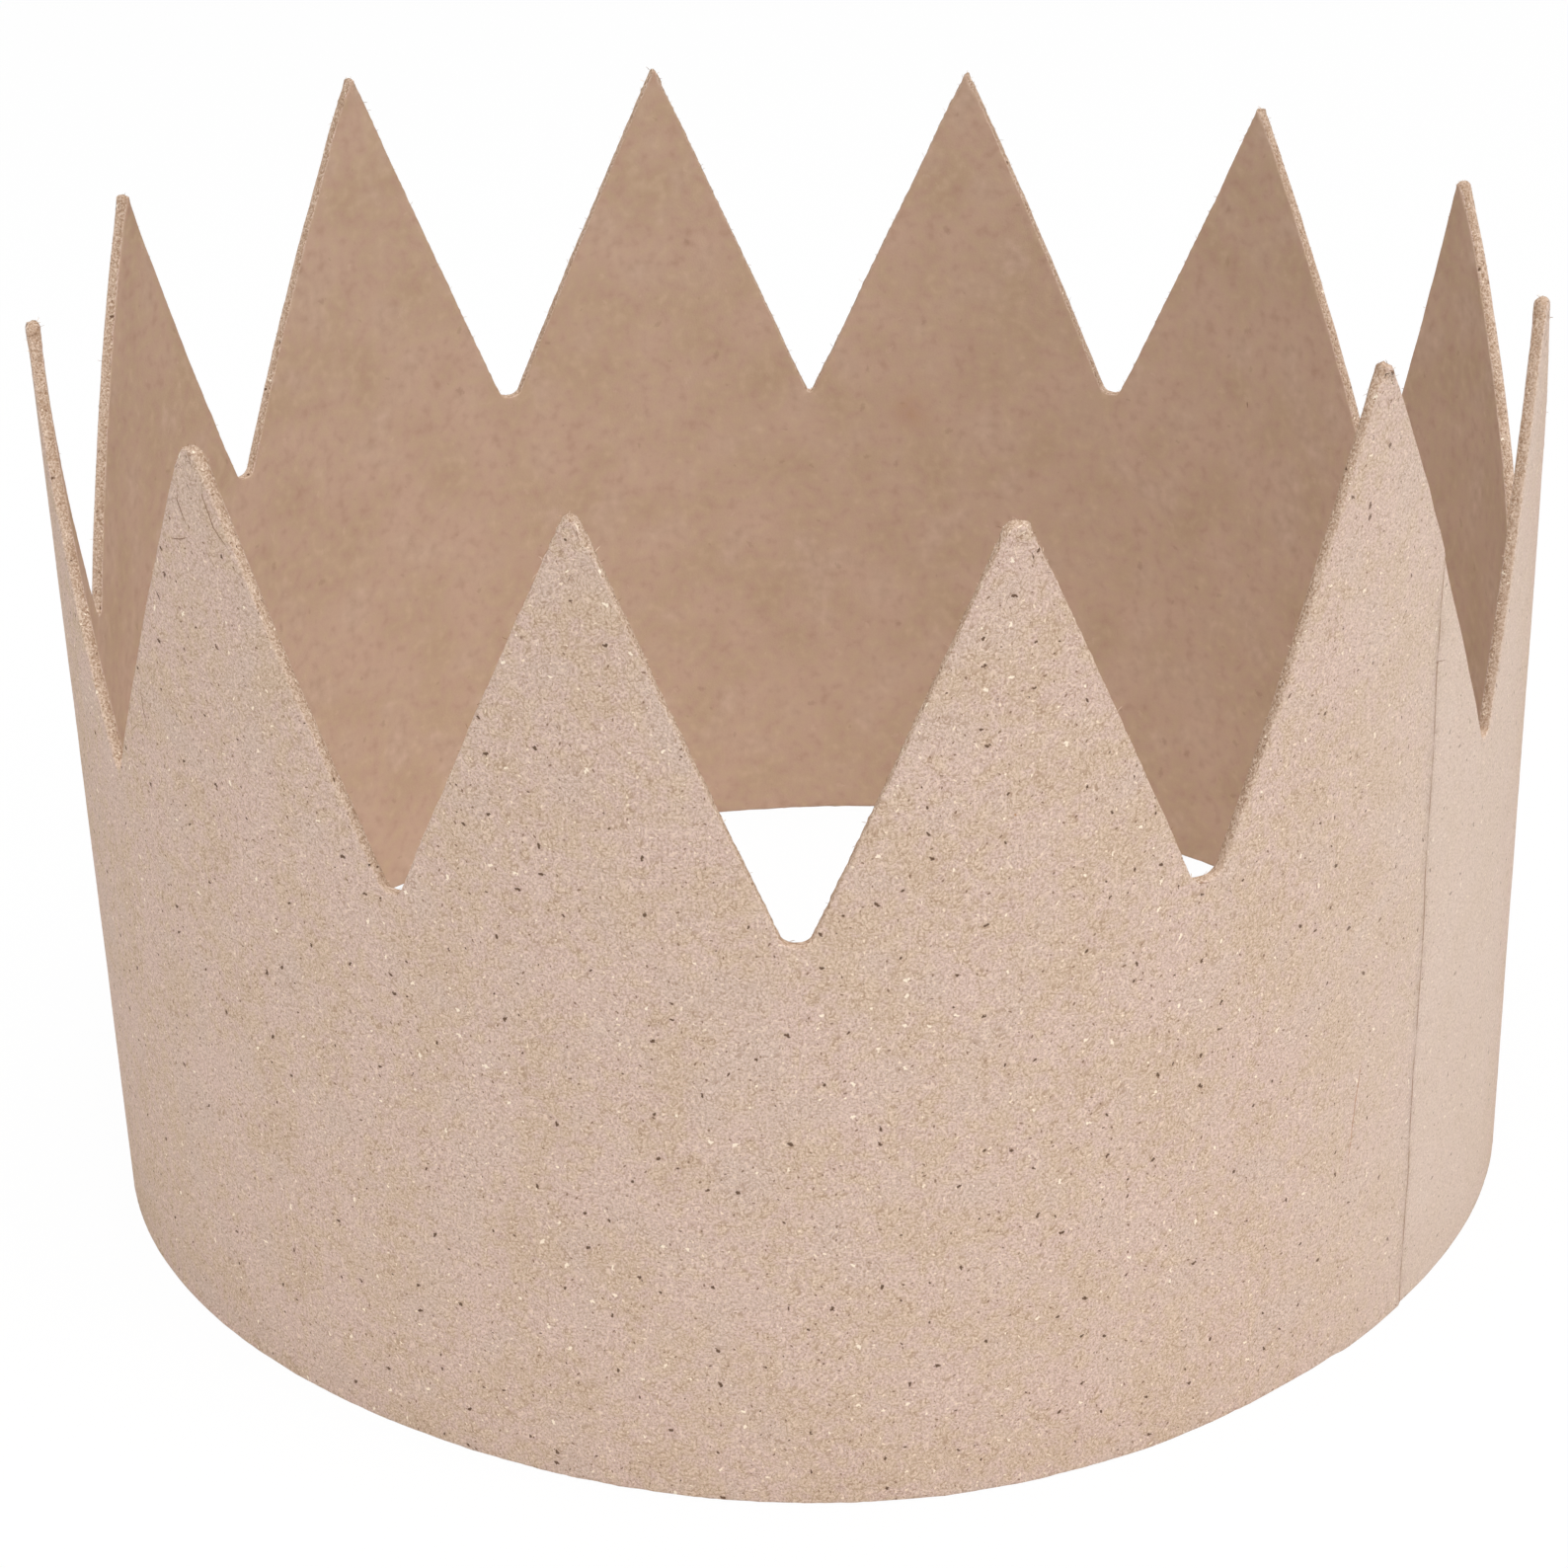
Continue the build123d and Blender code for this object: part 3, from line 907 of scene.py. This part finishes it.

# flecks, creases and fibres pressed into the outer (1) and the inner face (-1); a crease is a dusk line,
# whose dark tone is painted shade in its fold:
# width in millimetres, tone, and places as angle and height
pressedMarks = {
    1: [
        (0.55, soot, (-100.1, 2.0), (-99.9, 2.5)),
        (0.50, soot, (-75.5, 99.3), (-75.3, 98.9)),
        (0.55, soot, (-119.2, 50.5), (-119.1, 50.0)),
        (0.40, soot, (-141.5, 100.4), (-141.1, 99.6), (-140.9, 98.8)),
        (0.34, soot, (-121.4, 75.9), (-121.2, 75.3)),
        (0.30, soot, (-90.5, 22.9), (-90.1, 23.1)),
        (0.28, soot, (-114.4, 60.5), (-114.1, 60.8)),
        (0.30, soot, (-127.7, 37.8), (-127.5, 38.2)),
        (0.26, soot, (-29.2, 74.0), (-29.0, 74.4)),
        (0.30, moss, (-100.8, 33.8), (-100.5, 34.2)),
        (0.30, rust, (-97.1, 31.0), (-96.9, 31.2)),
        (0.80, rust, (-76.4, 86.2), (-76.2, 85.6)),
        (0.50, rust, (-104.2, 118.0), (-104.0, 117.7)),
        (0.40, rust, (-140.1, 104.3), (-139.9, 104.5)),
        (0.26, dusk, (-36.0, 86.2), (-37.6, 86.8), (-39.2, 87.6)),
        (0.42, dusk, (-137.1, 114.8), (-137.3, 112.6), (-136.9, 111.1), (-136.3, 109.2)),
        (0.42, dusk, (-139.0, 107.5), (-137.6, 107.9), (-136.2, 108.7)),
        (0.46, dusk, (-134.3, 116.7), (-134.4, 114.3), (-133.5, 110.8), (-132.3, 109.0), (-131.3, 107.3)),
        (0.20, dusk, (-101.1, 80.5), (-101.1, 79.8), (-100.7, 79.7), (-100.0, 79.7)),
        (0.22, dusk, (-62.5, 74.2), (-62.2, 73.0), (-61.4, 72.3)),
        (0.14, soot, (-60.3, 70.9), (-59.8, 70.6), (-59.5, 69.9)),
        (0.16, chalk, (-129.1, 102.8), (-128.9, 102.4), (-128.7, 101.8)),
        (0.30, chalk, (-80.9, 68.3), (-80.7, 68.5)),
        (0.32, chalk, (-64.7, 35.6), (-64.5, 35.9)),
        (0.30, chalk, (-82.6, 30.8), (-82.4, 31.0)),
        (0.28, blush, (-45.6, 52.7), (-45.3, 42.1), (-46.0, 34.6), (-46.5, 24.1), (-47.0, 16.1)),
        (0.34, dusk, (-145.4, 88.2), (-145.3, 83.4), (-145.0, 81.6), (-144.5, 79.4)),
        (0.22, dusk, (-145.0, 81.6), (-146.6, 80.9), (-148.2, 78.9)),
    ],
    -1: [
        (0.60, dusk, (43.2, 77.6), (43.1, 76.2)),
    ],
}

# how such a mark lies in the face
pressing = {"step": 0.4 * mm, "probe": 0.5 * mm, "sunk": 0.34}

# short fibres pressed into the outer face of each worn tip
tipScribbles = {
    "count": 16, "start": 0.3 * mm, "reach": 9.0 * mm, "crowding": 1.6,
    "flare": 0.42, "spread": 0.8,  # how the point widens below its tip, and the share of it they take up
    "length": (0.8 * mm, 2.4 * mm), "width": (0.12, 0.24), "bends": 3, "turn": 0.7, "seed": 8,
    "tones": [dusk, dusk, soot, chalk],
}


def makeStrandFibre():
    fibre, t, shader = newMaterial("looseFibre")
    place = t.node("ShaderNodeTexCoord").outputs["Object"]
    grain = t.ramp(t.noise(place, 1 / looseFibres["grainSize"], 1.0), 0.3, 0.7, *looseFibres["grain"])
    shade = t.node("ShaderNodeAttribute", attribute_name="strandTone").outputs["Color"]
    t.fill(
        shader, baseColor=t.vector("SCALE", shade, grain), roughness=looseFibres["roughness"],
        specularIORLevel=looseFibres["specular"],
    )
    return fibre


class Strands:
    # collects fibres as lines of places, each with a thickness and a tone
    def __init__(self):
        self.places = []
        self.links = []
        self.radius = []
        self.tone = []
        self.loose = []

    def add(self, line, radius, shade, loose):
        first = len(self.places)
        self.places += line
        self.links += [(first + i, first + i + 1) for i in range(len(line) - 1)]
        for i in range(len(line)):
            share = i / (len(line) - 1)
            self.radius.append(radius * (1 - looseFibres["taper"] * abs(2 * share - 1) ** 2))
            self.tone += shade
            self.loose.append(share * loose)

    def mesh(self, name):
        made = bpy.data.meshes.new(name)
        made.from_pydata(self.places, self.links, [])
        storeLayers(made, (
            ("strandRadius", "FLOAT", self.radius), ("strandTone", "FLOAT_COLOR", self.tone),
            ("strandLoose", "FLOAT", self.loose),
        ))
        return made


def rolledPlace(flat, depth):
    # where a place on the flat pattern comes to lie, at a depth from the outer face
    angle = flat.x / band["radius"]
    radius = band["radius"] + depth
    for count, height, crest in bandWaves:
        radius += height * mm * math.cos(count * (angle - math.radians(crest)))
    return Vector((radius * math.cos(angle), radius * math.sin(angle), flat.y))


def growLooseFibres(strands, skin, cuts):
    # fibres along the cuts, crowded at the tips
    draw = random.Random(looseFibres["seed"])
    bends = looseFibres["bends"]
    due = 0.0
    for here, there in zip(cuts, cuts[1:]):
        place, inward, drop = here
        crowding = looseFibres["tipCrowding"] if drop < looseFibres["tipReach"] else 1.0
        step = min((there[0] - place).length, looseFibres["longestStep"])
        due += step * crowding / looseFibres["spacing"]
        while due > draw.random() + 0.5:
            due -= 1.0
            depth = -band["thickness"] * draw.uniform(0.0, 1.0)
            above = rolledPlace(place - inward * looseFibres["probe"], depth)
            root, away, _, _ = skin.find_nearest(above)
            stray = Vector([draw.gauss(0, 1) for _ in range(3)]) * looseFibres["stray"]
            way = (away + stray).normalized()
            if way.dot(away) < looseFibres["leastStand"]:
                way = (way + away).normalized()
            length = draw.uniform(*looseFibres["length"]) * draw.uniform(0.5, 1.0)
            line = [root + way * length * (i / bends - looseFibres["rooted"]) for i in range(bends + 1)]
            strands.add(line, draw.uniform(*looseFibres["radius"]), draw.choice(looseFibres["tones"]), 1.0)


def pressLine(strands, skin, side, width, shade, corners):
    # a line that lies in a face of the board, with only its back proud of it
    spots = []
    for start, end in zip(corners, corners[1:]):
        spots += evenSteps(start, end, pressing["step"])
    spots.append(corners[-1])
    off = pressing["probe"] if side > 0 else -band["thickness"] - pressing["probe"]
    line = []
    for spot in spots:
        hit, away, _, _ = skin.find_nearest(rolledPlace(spot, off))
        line.append(hit - away * width * mm * pressing["sunk"])
    strands.add(line, width * mm / 2, shade, 0.0)


def pressMarks(strands, skin):
    for side, marks in pressedMarks.items():
        for width, shade, *corners in marks:
            pressLine(strands, skin, side, width, shade, [flatPlace(*corner) for corner in corners])


def scribbleTips(strands, skin):
    draw = random.Random(tipScribbles["seed"])
    bends, spread = tipScribbles["bends"], tipScribbles["spread"]
    for index in range(band["pointCount"]):
        tipX, tipY, tipWidth = pointAt(index)
        for _ in range(tipScribbles["count"]):
            drop = tipScribbles["reach"] * draw.random() ** tipScribbles["crowding"] + tipScribbles["start"]
            halfWidth = tipWidth / 2 + tipScribbles["flare"] * drop
            spot = Vector((tipX + halfWidth * draw.uniform(-spread, spread), tipY - drop, 0))
            heading = draw.uniform(0, math.pi)
            corners = [spot]
            for _ in range(bends):
                heading += draw.gauss(0, tipScribbles["turn"])
                stride = draw.uniform(*tipScribbles["length"]) / bends
                spot = spot + Vector((math.cos(heading), math.sin(heading), 0)) * stride
                corners.append(spot)
            width, shade = draw.uniform(*tipScribbles["width"]), draw.choice(tipScribbles["tones"])
            pressLine(strands, skin, 1, width, shade, corners)


def strandTree():
    # sweeps each line into a fibre
    inputs = {"geometry": ("Geometry", None), "fibre": ("Material", None)}
    inputs["sides"] = ("Int", looseFibres["sides"])
    inputs |= floats({"curl": looseFibres["curl"], "curlSize": looseFibres["curlSize"], "thickness": 1.0})
    t, given, result = newTree("growStrands", "GeometryNodeTree", inputs, {"geometry": "Geometry"})
    place = t.node("GeometryNodeInputPosition").outputs[0]
    bends = [t.centred(t.shift(place, 3.0 * i), given.curlSize, 1.0) for i in range(3)]
    bend = t.vector("SCALE", t.combine(*bends), t.multiply(t.attribute("strandLoose"), given.curl))
    moved = t.node("GeometryNodeSetPosition", given.geometry, None, None, bend)
    lines = t.node("GeometryNodeMeshToCurve", moved)
    ring = t.node("GeometryNodeCurvePrimitiveCircle", given.sides)
    thickness = t.multiply(t.attribute("strandRadius"), given.thickness)
    t.finish(t.node("GeometryNodeCurveToMesh", lines, ring, thickness, True), given.fibre, result)
    return t.tree


print("laying out the flat pattern")
flatBoard = FlatBoard()
for pointIndex in range(band["pointCount"]):
    addPoint(flatBoard, pointIndex)
print("flat pattern:", len(flatBoard.places), "places,", len(flatBoard.faces), "faces")

print("rolling the board")
crown = grow("crownBand", flatBoard.mesh("crownBand"), rollTree(), makeKraftBoard())
print("crown:", len(crown.data.vertices), "places,", triangles(crown), "triangles")
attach(crown, "root")
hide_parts("crown_band")

print("growing the loose fibres")
strands = Strands()
faces = [tuple(face.vertices) for face in crown.data.polygons]
skin = BVHTree.FromPolygons([place.co for place in crown.data.vertices], faces)
growLooseFibres(strands, skin, flatBoard.cuts)
pressMarks(strands, skin)
scribbleTips(strands, skin)
fibres = grow("looseFibres", strands.mesh("looseFibres"), strandTree(), makeStrandFibre())
print("fibres:", triangles(fibres), "triangles")
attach(fibres, "root")

studio = {
    "floorSize": 3.0,
    "floorGrey": 0.93,  # what the board sees of the floor
    "floorWhite": 0.96,  # how far the camera sees it white; the rest shows the shadow
    "worldLight": 0.47,
    "bounces": 3,
    # place, what it looks at, size and power
    "lamps": {
        "keyLamp": ((1.05, -0.5, 0.9), (0, 0, 0.05), 0.9, 4.9),
        "frontLamp": ((0, -0.9, 1.2), (0, 0, 0.05), 0.9, 5.7),
        "sideLamp": ((-1.3, -0.4, 0.3), (0, 0, 0.05), 0.9, 1.6),
        "topLamp": ((0.05, -0.1, 1.4), (0, 0, 0), 0.8, 8.0),
    },
}

cameraStand = {
    "back": 410.97 * mm, "height": 241.96 * mm, "lens": 78.304,
    "aside": 0.344, "down": 25.369, "roll": -1.654,  # degrees
}


def seenRays(t):
    # 1 for what the camera sees, straight, in a gloss or through glass
    path = t.node("ShaderNodeLightPath").outputs
    mirrored = t.math("MAXIMUM", path["Is Glossy Ray"], path["Is Transmission Ray"])
    return t.math("MAXIMUM", path["Is Camera Ray"], mirrored)


def makeFloor():
    size = studio["floorSize"] / 2
    mesh = bpy.data.meshes.new("floor")
    corners = [(-size, -size, 0), (size, -size, 0), (size, size, 0), (-size, size, 0)]
    mesh.from_pydata(corners, [], [(0, 1, 2, 3)])
    floor = newObject("floor", mesh)
    material, t, _ = newMaterial("paleFloor")
    t.tree.nodes.clear()
    matt = t.node("ShaderNodeBsdfDiffuse", (*[studio["floorGrey"]] * 3, 1))
    white = t.node("ShaderNodeEmission", (1, 1, 1, 1), 1.0)
    share = t.multiply(seenRays(t), studio["floorWhite"])
    t.node("ShaderNodeOutputMaterial", t.node("ShaderNodeMixShader", share, matt, white))
    mesh.materials.append(material)


def makeWorld():
    world = bpy.data.worlds.new("studioWorld")
    bpy.context.scene.world = world
    world.use_nodes = True
    t = Tree(world.node_tree)
    t.tree.nodes.clear()
    strength = t.ramp(seenRays(t), 0.0, 1.0, studio["worldLight"], 1.0, smooth=False)
    t.node("ShaderNodeOutputWorld", t.node("ShaderNodeBackground", (1, 1, 1, 1), strength))


def makeLamp(name, place, target, size, power):
    lamp = bpy.data.lights.new(name, "AREA")
    lamp.shape = "DISK"
    lamp.size = size
    lamp.energy = power
    made = newObject(name, lamp)
    made.location = place
    made.rotation_euler = (Vector(target) - Vector(place)).to_track_quat("-Z", "Y").to_euler()


def makeCamera():
    data = bpy.data.cameras.new("camera")
    data.sensor_width = 36
    data.lens = cameraStand["lens"]
    made = newObject("camera", data)
    made.matrix_world = (
        Matrix.Translation((0, -cameraStand["back"], cameraStand["height"]))
        @ Matrix.Rotation(math.radians(cameraStand["aside"]), 4, "Z")
        @ Matrix.Rotation(math.radians(90 - cameraStand["down"]), 4, "X")
        @ Matrix.Rotation(math.radians(cameraStand["roll"]), 4, "Z")
    )
    bpy.context.scene.camera = made


print("setting up the studio")
makeFloor()
makeWorld()
for lampName, lampSettings in studio["lamps"].items():
    makeLamp(lampName, *lampSettings)
makeCamera()
bpy.context.scene.view_settings.view_transform = "Standard"
cycles = bpy.context.scene.cycles
cycles.max_bounces = studio["bounces"]
cycles.diffuse_bounces = studio["bounces"]
cycles.use_light_tree = False  # quicker with so few lamps
